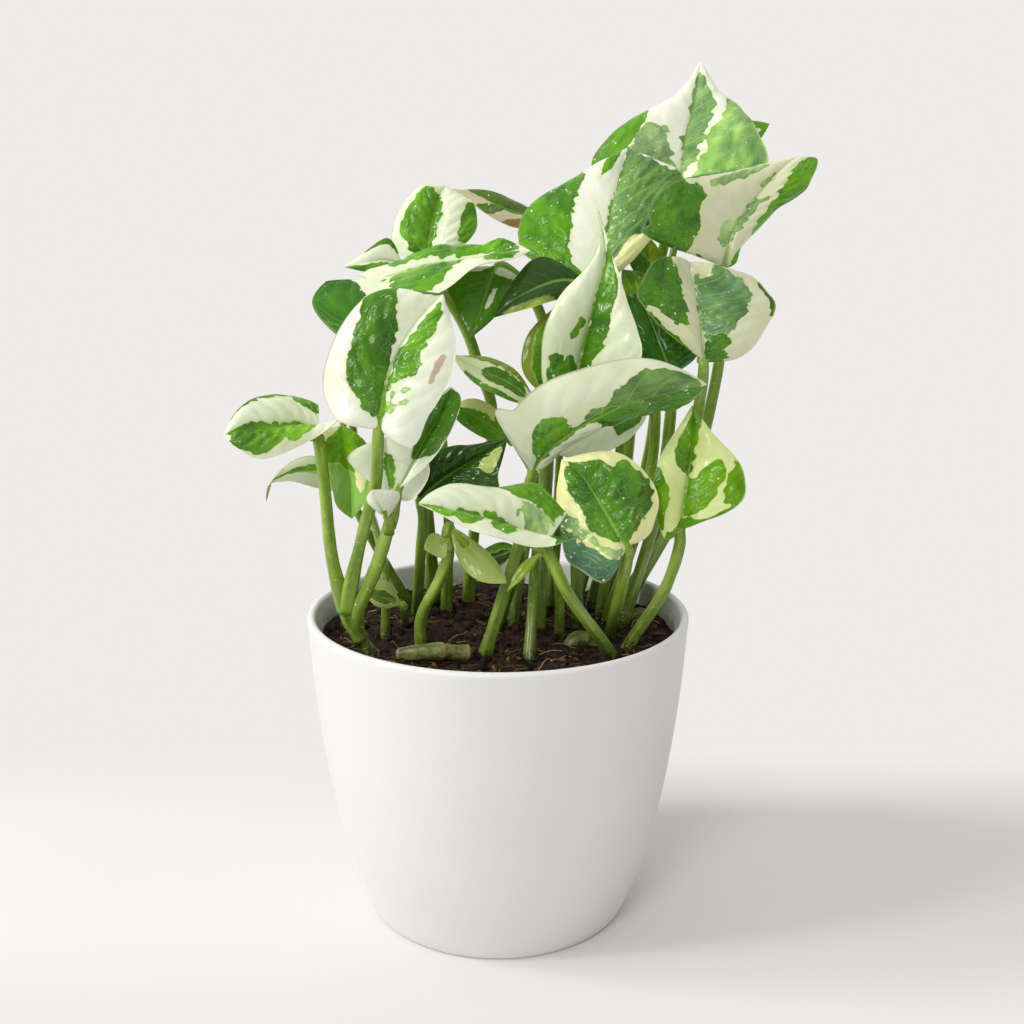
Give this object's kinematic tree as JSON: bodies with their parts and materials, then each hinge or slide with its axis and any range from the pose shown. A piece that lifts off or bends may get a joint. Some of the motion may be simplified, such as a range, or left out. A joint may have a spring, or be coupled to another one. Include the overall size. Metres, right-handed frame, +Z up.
{
  "type": "potted pothos plant",
  "caption": "Potted trailing aroid house plant with cream and green marbled heart-shaped leaves on upright stalks, in a plain round white pot filled with soil.",
  "frame": {"origin": "centre of the pot's flat base, where it rests", "axes": "+Z up the pot's own axis; -Y towards the viewer in the picture; the leaves lean towards +X"},
  "size_m": [0.2075, 0.1523, 0.3162],
  "materials": {
    "pot": "matt, very finely grained",
    "soil": null,
    "plant": null,
    "old_stem": "dull olive stem bark"
  },
  "bodies": {
    "root": {"pot": "pot", "leaf_top_right": "plant", "leaf_behind_top_right": "plant", "leaf_upper_right": "plant", "leaf_centre_top": "plant", "leaf_right_heart": "plant", "leaf_centre_upright": "plant", "leaf_centre_wide": "plant", "leaf_below_wide": "plant", "leaf_front_right": "plant", "leaf_right_low": "plant", "stem_front_left": "plant", "leaf_left_drooping": "plant", "leaf_upper_left_long": "plant", "leaf_top_left": "plant", "leaf_left_behind": "plant", "leaf_top_middle_behind": "plant", "leaf_under_long": "plant", "leaf_dark_centre": "plant", "leaf_left_mid_upper": "plant", "leaf_left_mid_lower": "plant", "leaf_dark_low": "plant", "leaf_front_long": "plant", "leaf_behind_left_petioles": "plant", "small_curled_leaf": "plant", "small_dark_leaf": "plant", "small_narrow_leaf": "plant", "leaf_behind_upright_left": "plant", "leaf_behind_upright_right": "plant", "leaf_between_tops": "plant", "small_leaf_near_soil": "plant", "cut_stem": "old_stem", "rhizome_front": "old_stem", "rhizome_right": "old_stem", "soil": "soil"}
  },
  "joints": []
}
